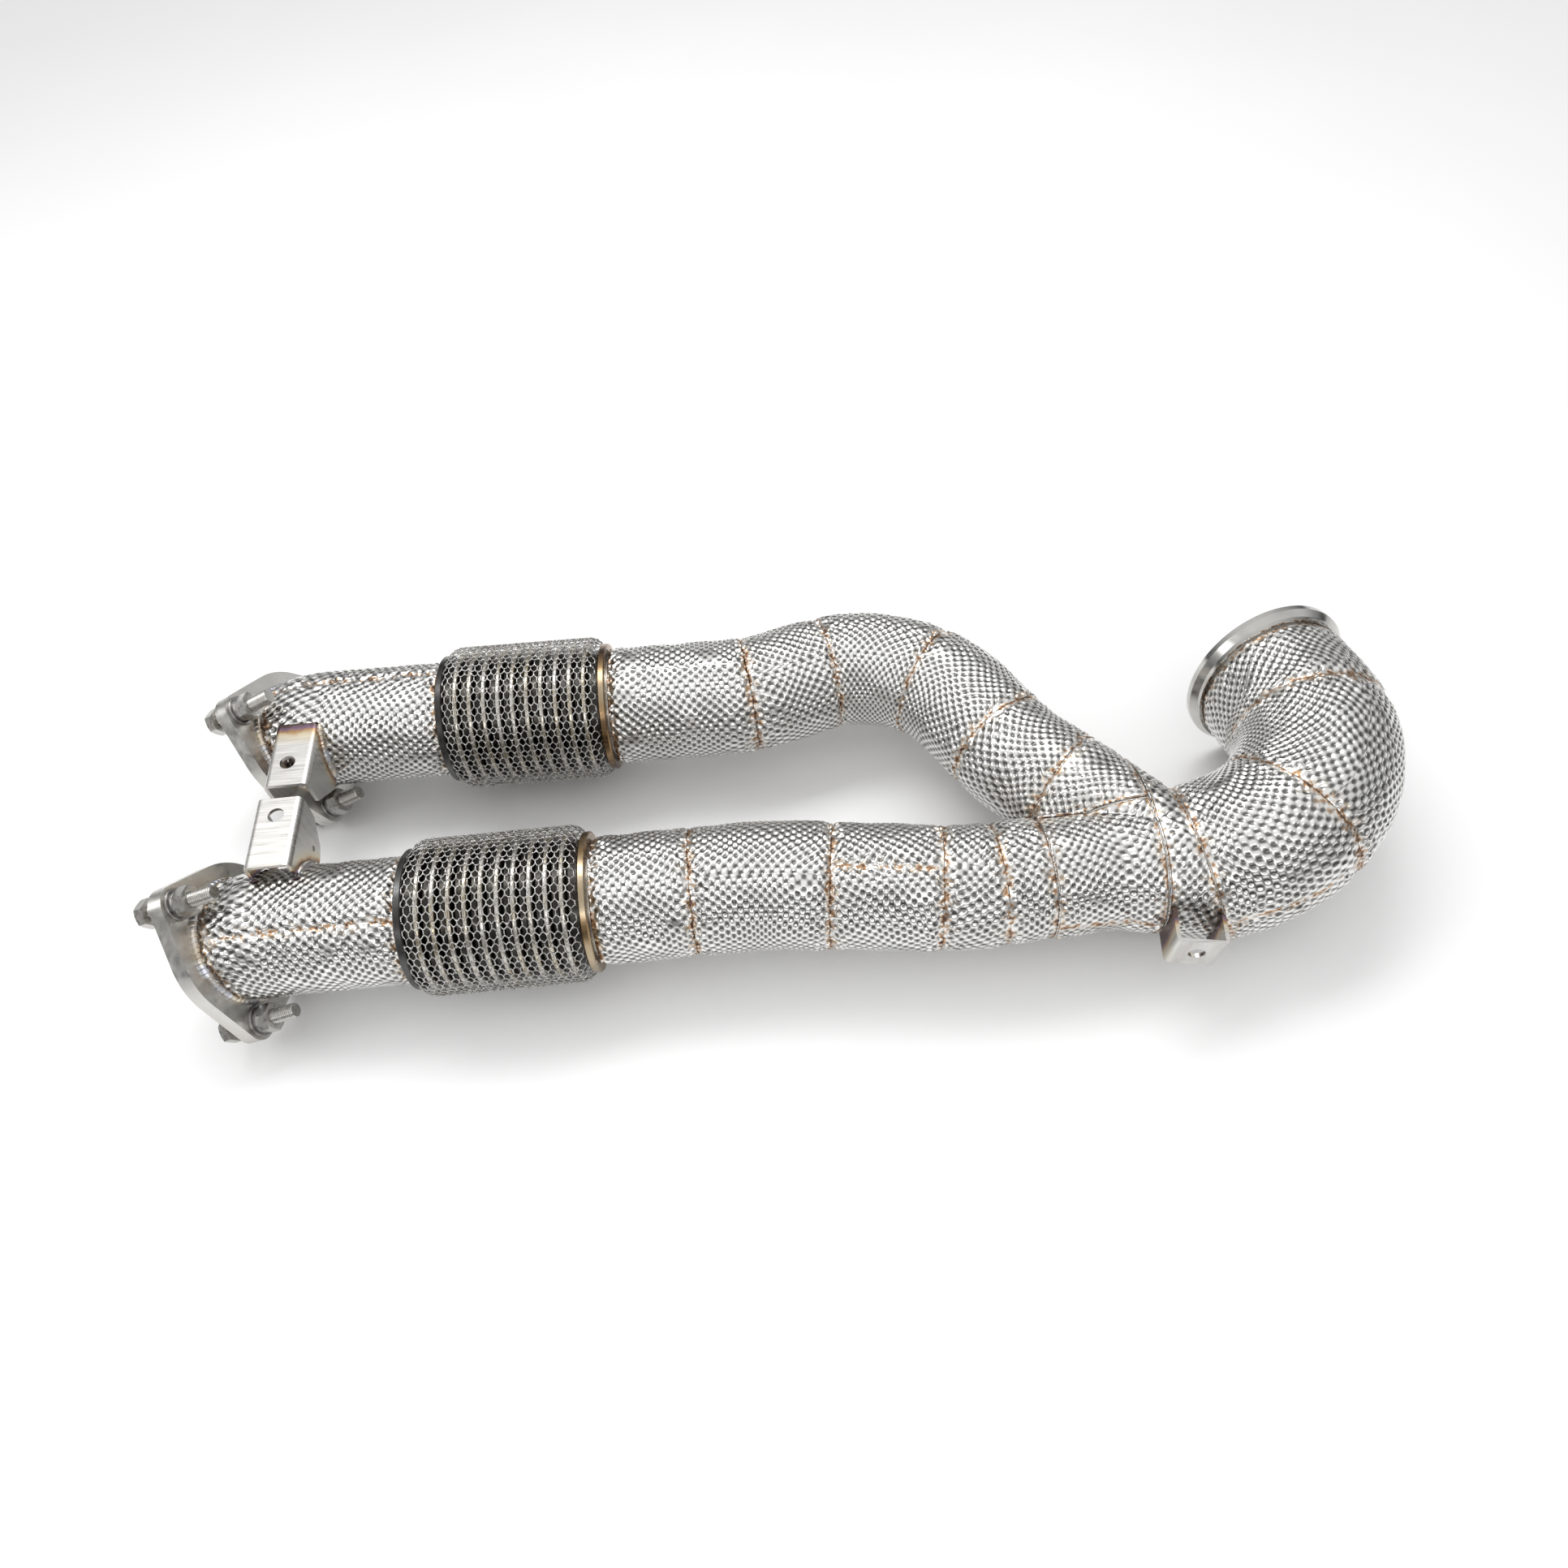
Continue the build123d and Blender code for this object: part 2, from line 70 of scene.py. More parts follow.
MM = 0.001
TAU = 2 * math.pi
UP = np.array([0.0, 0.0, 1.0])
JOINTS = {joint["name"]: joint for joint in frame["joints"]}
MOUNTS = {mount["name"]: mount for mount in frame["record"]["mounts"]}

# ---- sizes in millimetres, as in the CAD ----
LEG_TUBE_R = 38.3
INLET_TUBE_R = 51.0
INLET_WRAP_R = 53.0
INLET_BEND_R = 83.6
INLET_CORNER = 140.8         # from the turbocharger flange to the corner of the inlet's bend
INLET_SEAMS = (0.32, 0.87)   # where the bend's seams are, as shares of its length
OUTLET_WRAP_R = 41.5
LEG_Z = -2.0                 # height of the legs' centre lines
BRACKET_Y = {"near": -133.0, "far": 33.6}
COLLECTOR_R = 44.0           # mean radius, which only spaces the dimples round the collector
FLEX_HALF = 53.8
FLEX_END = 54.0
THIRD = 18.0                 # the flexible joint is three pieces, parted this far from its middle
SLEEVE_R = 50.4
SLEEVE_END_R = 44.6
FOLD_PITCH = 9.92
FOLD_ROOT_R = 40.9
FOLD_HEIGHT = 6.3
BOLT_CIRCLE_R = 53.5
THREAD_R = 4.97
THREAD_DEPTH = 0.85
THREAD_PITCH = 1.5
HEAD_APOTHEM = 8.5
NUT_SEAT = 4.6
NUT_HEIGHT = 8.0
NUT_BORE_R = 5.02
HEAD_SEAT = -19.0
HEAD_HEIGHT = 6.4
STUD_END = 29.1
CLOCKS = {"near": 90.0, "far": 100.7}  # angle of each flange's top bolt, in degrees

# ---- sizes in millimetres of what only the looks have ----
FOIL_STEP = 0.75             # spacing of the foil's mesh
COLLECTOR_VOXEL = 0.95
DIMPLE_ROW = 4.8             # spacing of the embossed dimples
DIMPLE_HEIGHT = 1.3
WIRE_R = 0.42
MESH_CELL = 4.6              # knitted cell along the pipe
MESH_ROWS = 66               # wires round the pipe
TINT_REACH = 12.0            # how far heat colours spread from a bracket's weld

# ---- counts of points round a shape, or along it ----
BEND_STEPS = 120
AXIS_STEPS = 120
BACK_ROWS = 24
BEAD_SIDES = 14
HEX_COLUMNS = 96
THREAD_COLUMNS = 32
WASHER_COLUMNS = 72
WIRE_SIDES = 6
BELLOWS_COLUMNS = 144


# ---------------------------------------------------------------- helpers
def unit(v):
    v = np.asarray(v, float)
    return v / np.linalg.norm(v, axis=-1, keepdims=True)


def smooth(x):
    """A soft step from 0 to 1."""
    x = np.clip(x, 0, 1)
    return x * x * (3 - 2 * x)


def waves(points, size, seed, count=12):
    """Smooth noise of about unit height, with lumps of about that size."""
    rng = np.random.default_rng(seed)
    directions = unit(rng.normal(size=(count, 3)))
    lengths = size * rng.uniform(0.7, 1.5, count)
    phases = rng.uniform(0, TAU, count)
    total = np.zeros(points.shape[:-1])
    for direction, length, phase in zip(directions, lengths, phases):
        total += np.cos(points @ direction * (TAU / length) + phase)
    return total * math.sqrt(2.0 / count)


class Route:
    """Straight runs joined by tangent arcs, read by distance along them."""

    def __init__(self, corners, radii):
        corners = [np.asarray(c, float) for c in corners]
        points = [corners[0]]
        for before, corner, after, radius in zip(corners, corners[1:], corners[2:], radii):
            a = unit(corner - before)
            b = unit(after - corner)
            turn = math.acos(np.clip(a @ b, -1, 1))
            inward = unit(b - a * (a @ b))
            start = corner - a * radius * math.tan(turn / 2)
            for angle in np.linspace(0, turn, BEND_STEPS):
                step = a * math.sin(angle) + inward * (1 - math.cos(angle))
                points.append(start + step * radius)
        points.append(corners[-1])
        self.points = np.array(points)
        steps = np.linalg.norm(np.diff(self.points, axis=0), axis=1)
        self.distance = np.concatenate([[0.0], np.cumsum(steps)])
        self.length = self.distance[-1]

    def centre(self, s):
        return np.stack([np.interp(s, self.distance, self.points[:, i]) for i in range(3)], -1)

    def at(self, s):
        """Centre, forward, top and side directions at those distances."""
        forward = unit(self.centre(np.minimum(s + 1, self.length)) - self.centre(np.maximum(s - 1, 0)))
        top = unit(UP - forward * (forward @ UP)[:, None])
        return self.centre(s), forward, top, np.cross(forward, top)


def mesh_object(name, vertices, faces, material, values=None):
    """A mesh from points in millimetres and an array of quads."""
    mesh = bpy.data.meshes.new(name)
    mesh.vertices.add(len(vertices))
    mesh.vertices.foreach_set("co", (vertices * MM).astype(np.float32).ravel())
    mesh.loops.add(faces.size)
    mesh.loops.foreach_set("vertex_index", faces.astype(np.int32).ravel())
    mesh.polygons.add(len(faces))
    mesh.polygons.foreach_set("loop_start", np.arange(0, faces.size, faces.shape[1], dtype=np.int32))
    mesh.update(calc_edges=True)
    mesh.validate()
    for key, value in (values or {}).items():
        layer = mesh.attributes.new(key, "FLOAT", "POINT")
        layer.data.foreach_set("value", np.asarray(value, np.float32).ravel())
    mesh.shade_smooth()
    mesh.materials.append(material)
    obj = bpy.data.objects.new(name, mesh)
    bpy.context.scene.collection.objects.link(obj)
    return obj


def grid_faces(rows, columns, loop_rows=False, first=0):
    """Quads over a grid of points whose columns close on themselves."""
    r = np.arange(rows if loop_rows else rows - 1)[:, None]
    c = np.arange(columns)[None]
    r2 = (r + 1) % rows
    c2 = (c + 1) % columns
    quads = np.stack([r * columns + c, r * columns + c2, r2 * columns + c2, r2 * columns + c], -1)
    return quads.reshape(-1, 4) + first


def settle(obj, body, nodes=()):
    """Hang a piece on its body in place of some CAD nodes, which are hidden; given two bodies instead of one, it
    only bakes the piece's transform.
    """
    if nodes:
        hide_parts(*nodes)
    if isinstance(body, str):
        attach(obj, body)
    else:
        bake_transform(obj)
    return obj


# ---------------------------------------------------------------- materials
class Nodes:
    """Shorthand for building one node material."""

    def __init__(self, name, metallic=1.0, roughness=0.3):
        self.material = bpy.data.materials.new(name)
        self.material.use_nodes = True
        self.tree = self.material.node_tree
        self.shader = self.tree.nodes["Principled BSDF"]
        self.shader.inputs["Metallic"].default_value = metallic
        self.shader.inputs["Roughness"].default_value = roughness

    def node(self, kind, **settings):
        """A new node, with its sockets linked or set and its properties set by name."""
        made = self.tree.nodes.new(kind)
        for key, value in settings.items():
            if isinstance(value, bpy.types.NodeSocket):
                self.tree.links.new(value, made.inputs[key])
            elif key in made.inputs:
                made.inputs[key].default_value = value
            else:
                setattr(made, key, value)
        return made

    def attribute(self, name):
        return self.node("ShaderNodeAttribute", attribute_name=name).outputs["Fac"]

    def noise(self, scale, detail=3.0, stretch=(1, 1, 1)):
        where = self.node("ShaderNodeTexCoord").outputs["Object"]
        mapped = self.node("ShaderNodeMapping", Vector=where, Scale=stretch).outputs["Vector"]
        made = self.node("ShaderNodeTexNoise", Vector=mapped, Scale=scale, Detail=detail)
        return made.outputs["Fac"]

    def math(self, operation, a, b):
        made = self.node("ShaderNodeMath", operation=operation)
        for socket, value in zip(made.inputs, (a, b)):
            if isinstance(value, bpy.types.NodeSocket):
                self.tree.links.new(value, socket)
            else:
                socket.default_value = value
        return made.outputs[0]

    def ramp(self, factor, *stops):
        """Colours or greys at places along a factor."""
        made = self.node("ShaderNodeValToRGB", Fac=factor)
        elements = made.color_ramp.elements
        while len(elements) < len(stops):
            elements.new(0.5)
        for element, (place, colour) in zip(elements, stops):
            element.position = place
            element.color = (*colour, 1) if isinstance(colour, tuple) else (colour,) * 3 + (1,)
        return made.outputs["Color"]

    def mix(self, factor, a, b):
        """Two colours mixed: the node's colour sockets are numbers 6 and 7, and its colour output 2."""
        made = self.node("ShaderNodeMix", data_type="RGBA")
        for socket, value in zip((made.inputs[0], made.inputs[6], made.inputs[7]), (factor, a, b)):
            if isinstance(value, bpy.types.NodeSocket):
                self.tree.links.new(value, socket)
            elif isinstance(value, tuple):
                socket.default_value = (*value, 1)
            else:
                socket.default_value = value
        return made.outputs[2]

    def bump(self, height, strength, depth=0.0003):
        made = self.node("ShaderNodeBump", Height=height, Strength=strength, Distance=depth)
        self.tree.links.new(made.outputs["Normal"], self.shader.inputs["Normal"])

    def finish(self, colour, roughness):
        self.tree.links.new(colour, self.shader.inputs["Base Color"])
        self.tree.links.new(roughness, self.shader.inputs["Roughness"])
        return self.material


def foil_material():
    """Bright foil with painted shade in its hollows, and scorched along its welds."""
    n = Nodes("embossed_foil")
    painted_shade = n.attribute("painted_shade")
    tint = n.attribute("tint")
    grain = n.noise(260, 4)
    patch = n.noise(18, 3)
    metal = n.ramp(patch, (0.3, (0.80, 0.79, 0.765)), (0.7, (0.90, 0.895, 0.88)))
    # painted shade: the metal is mixed towards near black where the foil's hollows lie
    shaded = n.mix(n.ramp(painted_shade, (0.15, 0.0), (0.75, 0.94)), metal, (0.10, 0.098, 0.095))
    scorch = n.math("MULTIPLY", tint, n.ramp(n.noise(330, 2), (0.38, 0.1), (0.62, 1.0)))
    straw, brown, burnt = (0.74, 0.64, 0.48), (0.47, 0.27, 0.13), (0.10, 0.045, 0.028)
    colours = n.ramp(scorch, (0.0, straw), (0.3, brown), (0.75, burnt))
    colour = n.mix(n.ramp(scorch, (0.04, 0.0), (0.35, 0.92)), shaded, colours)
    n.bump(grain, 0.12)
    return n.finish(colour, n.ramp(n.math("ADD", n.noise(90, 3), scorch), (0.3, 0.17), (1.1, 0.42)))


def steel_material(name, colour, darker, roughness, scale, stretch=(1, 1, 1), bump=0.1, wear=0.3):
    """Steel with streaks or grain; stretch draws the grain out along an axis, wear is how dark it is."""
    n = Nodes(name)
    streak = n.noise(scale, 5, stretch)
    cloud = n.noise(22, 3)
    base = n.mix(n.ramp(cloud, (0.35, 0.0), (0.7, 1.0)), darker, colour)
    base = n.mix(n.ramp(streak, (0.35, wear), (0.65, 0.0)), base, tuple(c * 0.6 for c in colour))
    n.bump(streak, bump, 0.0002)
    return n.finish(base, n.ramp(streak, (0.3, roughness * 0.75), (0.7, roughness * 1.3)))


def tinted_material(name, cool, warm, dark, roughness):
    """Steel with heat colours in patches."""
    n = Nodes(name)
    patches = n.noise(30, 4)
    base = n.ramp(patches, (0.32, dark), (0.48, warm), (0.66, cool))
    grain = n.noise(500, 3)
    n.bump(grain, 0.1, 0.0002)
    return n.finish(base, n.ramp(grain, (0.3, roughness * 0.8), (0.7, roughness * 1.25)))


def knit_material():
    """Bright and dull wire by turns."""
    n = Nodes("knitted_wire")
    grain = n.noise(300, 3)
    base = n.ramp(grain, (0.3, (0.30, 0.29, 0.27)), (0.7, (0.72, 0.71, 0.69)))
    return n.finish(base, n.ramp(grain, (0.3, 0.22), (0.7, 0.36)))


def bellows_material():
    """Straw-coloured crests with painted shade, near black, in the folds between them."""
    n = Nodes("bellows")
    painted_shade = n.attribute("painted_shade")
    patches = n.noise(45, 3)
    crest = n.ramp(patches, (0.35, (0.56, 0.49, 0.38)), (0.6, (0.72, 0.70, 0.66)))
    # painted shade: near black in the folds and on the plain ends, straw and steel on the crests
    base = n.mix(n.ramp(painted_shade, (0.08, 0.0), (0.5, 0.97)), crest, (0.03, 0.028, 0.026))
    return n.finish(base, n.ramp(patches, (0.3, 0.2), (0.7, 0.34)))


def weld_material():
    """Heat colours in patches, with painted shade between the ripples."""
    n = Nodes("weld_bead")
    painted_shade = n.attribute("painted_shade")
    patches = n.noise(70, 3)
    brown, straw, blue = (0.34, 0.26, 0.22), (0.66, 0.58, 0.46), (0.66, 0.68, 0.74)
    tones = n.ramp(patches, (0.3, brown), (0.45, straw), (0.62, blue))
    # painted shade: the tones are mixed towards near black in the troughs between the ripples
    base = n.mix(n.ramp(painted_shade, (0.3, 0.0), (1.0, 0.8)), tones, (0.09, 0.07, 0.07))
    return n.finish(base, n.ramp(patches, (0.3, 0.22), (0.7, 0.4)))


def bracket_material(name, centre, radius):
    """Brushed sheet, heat-tinted where it meets a pipe: the pipe's centre in Y and Z, and its radius."""
    n = Nodes(name)
    streak = n.noise(900, 4, (0.04, 1, 0.04))
    base = n.ramp(streak, (0.3, (0.54, 0.525, 0.50)), (0.7, (0.72, 0.71, 0.69)))
    place = n.node("ShaderNodeSeparateXYZ")
    n.tree.links.new(n.node("ShaderNodeTexCoord").outputs["Object"], place.inputs[0])
    aside = n.math("SUBTRACT", place.outputs["Y"], centre[0] * MM)
    above = n.math("SUBTRACT", place.outputs["Z"], centre[1] * MM)
    squares = n.math("ADD", n.math("MULTIPLY", aside, aside), n.math("MULTIPLY", above, above))
    beyond = n.math("SUBTRACT", n.math("SQRT", squares, 0.0), radius * MM)
    ragged = n.math("MULTIPLY", n.math("SUBTRACT", n.noise(120, 2), 0.5), 0.35)
    depth = n.math("ADD", n.math("MULTIPLY", beyond, 1 / (TINT_REACH * MM)), ragged)
    burnt, purple = (0.10, 0.06, 0.05), (0.20, 0.13, 0.20)
    brown, straw = (0.42, 0.24, 0.10), (0.66, 0.56, 0.38)
    tones = n.ramp(depth, (0.0, burnt), (0.16, purple), (0.3, brown), (0.5, straw))
    base = n.mix(n.ramp(depth, (0.3, 0.95), (1.0, 0.0)), base, tones)
    n.bump(streak, 0.08, 0.0002)
    return n.finish(base, n.ramp(streak, (0.3, 0.26), (0.7, 0.38)))


FOIL = foil_material()
KNIT = knit_material()
BELLOWS = bellows_material()
WELD = weld_material()
BRACKETS = {
    "near_outlet_bracket": bracket_material("near_bracket_sheet", (BRACKET_Y["near"], LEG_Z), 42.0),
    "far_outlet_bracket": bracket_material("far_bracket_sheet", (BRACKET_Y["far"], LEG_Z), 42.0),
    "collector_bracket": bracket_material("collector_bracket_sheet", (-147.0, -7.0), 51.0),
}
TUBE = steel_material("stainless_tube", (0.66, 0.65, 0.63), (0.50, 0.48, 0.45), 0.32, 300, (0.05, 1, 1))
MACHINED = steel_material(
    "machined_steel", (0.76, 0.755, 0.74), (0.50, 0.49, 0.465), 0.17, 240, bump=0.02, wear=0.06
)
FLANGE = steel_material("flange_plate", (0.70, 0.69, 0.665), (0.56, 0.545, 0.51), 0.34, 180, bump=0.14)
BOLT = steel_material("bolt_steel", (0.62, 0.61, 0.585), (0.50, 0.485, 0.455), 0.30, 400, bump=0.08)
WASHER = steel_material("washer_steel", (0.42, 0.41, 0.40), (0.32, 0.31, 0.30), 0.34, 400, bump=0.08)
GOLD_RING = tinted_material("tinted_ring", (0.44, 0.36, 0.25), (0.32, 0.21, 0.11), (0.13, 0.08, 0.05), 0.26)
DARK_RING = tinted_material("dark_ring", (0.12, 0.12, 0.12), (0.06, 0.058, 0.055), (0.03, 0.03, 0.03), 0.3)

FINISHES = {
    "embossed_foil": FOIL,
    "stainless_tube": TUBE,
    "machined_steel": MACHINED,
    "flange_plate": FLANGE,
    "knitted_wire": KNIT,
    "bellows": BELLOWS,
    "tinted_ring": GOLD_RING,
    "dark_ring": DARK_RING,
    "weld_bead": WELD,
    "bolt_steel": BOLT,
    "nut_steel": BOLT,
    "washer_steel": WASHER,
}
for part in frame["record"]["subparts"]:
    shape = frame["nodes"][part["node"]]
    finish = BRACKETS.get(part["node"]) or FINISHES[part["material_slot"]]
    if not shape.material_slots:
        shape.data.materials.append(finish)
    for place in shape.material_slots:
        place.material = finish


# ---------------------------------------------------------------- embossed foil
def embossing(u, v, turn):
    """Height from 0 to 1 of a diamond array of domes and pits.

    Its rows run 45 degrees to the pipe at a turn of 0.45, and a little off that at others."""
    angle = math.pi / 4 + 0.5 * (turn - 0.45)
    a = u * math.cos(angle) + v * math.sin(angle)
    b = v * math.cos(angle) - u * math.sin(angle)
    k = TAU / DIMPLE_ROW
    return (np.cos(k * a) + np.cos(k * b) + 2) / 4


def foil_relief(points, u, v, seam, turn, seed):
    """How far foil stands off its mean surface, how much painted shade each point gets in the hollows and how
    scorched it is.

    seam is each point's distance from the nearest spot-welded seam."""
    plain = smooth(seam / 4.5)
    crush = np.exp(-seam / 7.0)
    warp = 0.45 * waves(points, 26, seed)
    domes = embossing(u + 0.5 * waves(points, 30, seed + 1), v + 0.5 * waves(points, 30, seed + 2), turn)
    creases = 1 - np.abs(waves(points, 7.5, seed + 3)) * 1.2
    pinch = -1.9 * np.exp(-(seam / 3.6) ** 2)
    height = DIMPLE_HEIGHT * (domes - 0.5) * (0.25 + 0.75 * plain)
    height += warp * 0.8 + crush * creases * 0.95 + pinch
    height += crush * 0.42 * waves(points, 3.4, seed + 4)
    # painted shade: darkest in the pits between the domes, fainter near the seams
    painted_shade = np.clip(1 - domes * 1.25, 0, 1) * (0.4 + 0.6 * plain)
    spots = 0.5 + 0.45 * np.cos(TAU * (u + v) / 3.9) + 0.35 * waves(points, 6, seed + 6)
    line = np.exp(-(seam / 1.8) ** 2) * np.clip(spots, 0, 1)
    stain = 0.6 * np.exp(-seam / 3.8) * np.clip(waves(points, 9, seed + 5) + 0.3, 0, 1)
    return height, painted_shade, np.clip(line + stain, 0, 1)


def foil(name, body, route, start, end, radius, tube_r, seam_at, turn, seed):
    """One wrapped length of foil: embossed outside, plain inside against its tube.

    start and end are distances along the route, and seam_at is its long seam's angle from the top."""
    rows = int((end - start) / FOIL_STEP) + 1
    columns = int(TAU * radius / FOIL_STEP)
    s = np.linspace(start, end, rows)
    theta = np.arange(columns) / columns * TAU
    centre, forward, top, side = route.at(s)
    out = top[:, None] * np.cos(theta)[:, None] + side[:, None] * np.sin(theta)[:, None]
    away = (theta - math.radians(seam_at) + math.pi) % TAU - math.pi
    u = np.broadcast_to((s - start)[:, None], (rows, columns))
    v = np.broadcast_to(radius * away[None], (rows, columns))
    points = centre[:, None] + out * radius
    ends = np.minimum(u, (end - start) - u)
    seam = np.minimum(ends, np.abs(v) + 0.9)
    height, painted_shade, tint = foil_relief(points, u, v, seam, turn, seed)
    outer = centre[:, None] + out * np.clip(radius - 0.7 + height, tube_r + 0.25, radius - 0.02)[..., None]
    back = np.linspace(rows - 1, 0, BACK_ROWS).astype(int)
    inner = centre[back][:, None] + out[back] * tube_r
    shape = np.concatenate([outer, inner])
    # the painted shade of the hollows and the scorch go to the material; the inside wall gets neither
    values = {
        "painted_shade": np.concatenate([painted_shade, np.zeros(inner.shape[:2])]),
        "tint": np.concatenate([tint, np.zeros(inner.shape[:2])]),
    }
    faces = grid_faces(len(shape), columns, loop_rows=True)
    obj = mesh_object(name + "_foil", shape.reshape(-1, 3), faces, FOIL, values)
    return settle(obj, body, [name])


def foil_from_cad(name, axis, seams, turn, seed):
    """Foil over a shape with no simple axis: the CAD shell, remeshed fine and embossed.

    seams are functions that give each point's distance from a seam."""
    source = bpy.data.objects.new("source", frame["nodes"][name].data.copy())
    bpy.context.scene.collection.objects.link(source)
    fine = source.modifiers.new("fine", "REMESH")
    fine.mode = "VOXEL"
    fine.voxel_size = COLLECTOR_VOXEL * MM
    soften = source.modifiers.new("soften", "SMOOTH")
    soften.iterations = 4
    bpy.context.view_layer.update()
    mesh = bpy.data.meshes.new_from_object(source.evaluated_get(bpy.context.evaluated_depsgraph_get()))
    bpy.data.objects.remove(source)
    count = len(mesh.vertices)
    points = np.empty(count * 3, np.float32)
    normals = np.empty(count * 3, np.float32)
    mesh.vertices.foreach_get("co", points)
    mesh.vertex_normals.foreach_get("vector", normals)
    points = points.reshape(-1, 3).astype(float) / MM
    normals = normals.reshape(-1, 3).astype(float)
    line = axis.centre(np.linspace(0, axis.length, AXIS_STEPS))
    nearest = np.argmin(((points[:, None] - line[None]) ** 2).sum(2), 1)
    away = points - line[nearest]
    last = AXIS_STEPS - 1
    forward = unit(line[np.minimum(nearest + 1, last)] - line[np.maximum(nearest - 1, 0)])
    top = unit(UP - forward * (forward @ UP)[:, None])
    side = np.cross(forward, top)
    angle = np.arctan2((away * side).sum(1), (away * top).sum(1))
    u = nearest / last * axis.length + (away * forward).sum(1)
    v = angle * COLLECTOR_R
    outside = (normals * away).sum(1) > 0
    seam = np.min([distance(points) for distance in seams], 0)
    height, painted_shade, tint = foil_relief(points, u, v, seam, turn, seed)
    points += normals * np.where(outside, np.clip(height - 0.6, -1.25, -0.02), 0)[:, None]
    mesh.vertices.foreach_set("co", (points * MM).astype(np.float32).ravel())
    # the painted shade of the hollows and the scorch, on the outside only
    for key, value in (("painted_shade", painted_shade), ("tint", tint)):
        layer = mesh.attributes.new(key, "FLOAT", "POINT")
        layer.data.foreach_set("value", np.where(outside, value, 0).astype(np.float32))
    mesh.materials.clear()
    mesh.materials.append(FOIL)
    mesh.shade_smooth()
    mesh.update()
    obj = bpy.data.objects.new(name + "_foil", mesh)
    bpy.context.scene.collection.objects.link(obj)
    return settle(obj, "pipework", [name])


# ---- routes, with the corners and radii of the CAD ----
NEAR_FLEX = np.array(JOINTS["near_sideways"]["pos_m"]) / MM
FAR_FLEX = np.array(JOINTS["far_sideways"]["pos_m"]) / MM
NEAR_ALONG = unit(JOINTS["near_stretch"]["axis"])
FAR_ALONG = unit(JOINTS["far_stretch"]["axis"])
FACING = unit(MOUNTS["turbo_inlet"]["axis"])
MOUTH = np.array([-86.0, -145.0, -8.5])
near_route = Route(
    [
        NEAR_FLEX + NEAR_ALONG * FLEX_END,
        (-367, -133, LEG_Z),
        (-237, -150, LEG_Z),
        (-190, -147.9, LEG_Z),
    ],
    [150, 150],
)
far_route = Route(
    [
        FAR_FLEX + FAR_ALONG * FLEX_END,
        (-365.3, 26.4, LEG_Z),
        (-248.7, 57, LEG_Z),
        (-184.5, -56, LEG_Z),
        (-161.4, -79.1, LEG_Z),
    ],
    [120, 90, 90],
)
inlet_corner = -FACING * INLET_CORNER
inlet_route = Route([MOUTH, inlet_corner, -FACING * 4.7], [INLET_BEND_R])

# ---- wraps of the legs and the inlet: each leg wrap's length and radius, its seam's angle, its turn ----
NEAR_WRAPS = [(62, 42.0), (89, 42.0), (70, 41.2), (35, 40.3), (29, 40.0)]
FAR_WRAPS = [(97, 42.0), (60, 41.5), (74, 41.0), (74, 40.5), (57, 40.0)]
TURNS = [0.30, 0.52, 0.12, 0.80, 0.42]
for leg, route, wraps, seam_places in (
    ("near", near_route, NEAR_WRAPS, [170, 200, 12, 190, 160]),
    ("far", far_route, FAR_WRAPS, [185, 200, 170, 190, 175]),
):
    start = 6.0
    for number, (length, radius) in enumerate(wraps, 1):
        end = route.length if number == len(wraps) else start + length
        foil(
            f"{leg}_wrap_{number}", "pipework", route, start, end, radius, LEG_TUBE_R,
            seam_places[number - 1], TURNS[(number + len(leg)) % 5], 20 * number + len(leg),
        )
        start = end

inlet_turn = math.acos(np.clip(unit(inlet_corner - MOUTH) @ FACING, -1, 1))
bend_start = np.linalg.norm(inlet_corner - MOUTH) - INLET_BEND_R * math.tan(inlet_turn / 2)
bend_length = INLET_BEND_R * inlet_turn
bend_seams = [bend_start + share * bend_length for share in INLET_SEAMS]
inlet_ends = [0.2, *bend_seams, inlet_route.length - 8]
for number, (start, end) in enumerate(zip(inlet_ends, inlet_ends[1:]), 1):
    foil(
        f"inlet_wrap_{number}", "pipework", inlet_route, start, end, INLET_WRAP_R, INLET_TUBE_R,
        [78, 200, 235][number - 1], TURNS[number], 300 + number,
    )

# ---- collector ----
mouth_forward = unit(inlet_route.centre(np.array([2.0])) - MOUTH)[0]
far_end_forward = unit(far_route.points[-1] - far_route.points[-2])


def plane_distance(origin, normal):
    """A function that gives points' distances from a plane."""
    origin = np.asarray(origin, float)
    normal = unit(normal)
    return lambda points: np.abs((points - origin) @ normal)


near_axis = Route([(-190, -147.9, LEG_Z), (-146, -146, LEG_Z), MOUTH, MOUTH + mouth_forward * 20], [60, 40])
far_axis = Route([far_route.points[-1], (-132, -108, -4), MOUTH, MOUTH + mouth_forward * 20], [40, 40])
neck_seam = plane_distance((-121, 0, 0), (1, 0, 0))
crotch_seam = plane_distance((0, -120, 0), (0, 1, 0))
mouth_seam = plane_distance(MOUTH, mouth_forward)
near_end_forward = unit(near_axis.points[1] - near_axis.points[0])
near_end = near_route.points[-1]
near_end_seam = plane_distance(near_end, near_end_forward)
front = (0, -0.9986, 0.0523)  # the side that the long seam runs along
long_seam = plane_distance(near_end, np.cross(MOUTH - near_end, front))
near_seams = [neck_seam, crotch_seam, near_end_seam, long_seam]
foil_from_cad("collector_wrap_near", near_axis, near_seams, 0.25, 401)
foil_from_cad(
    "collector_wrap_far", far_axis,
    [neck_seam, crotch_seam, plane_distance(far_route.points[-1], far_end_forward)],
    0.7, 402,
)
foil_from_cad("neck_wrap", near_axis, [neck_seam, mouth_seam], 0.55, 403)


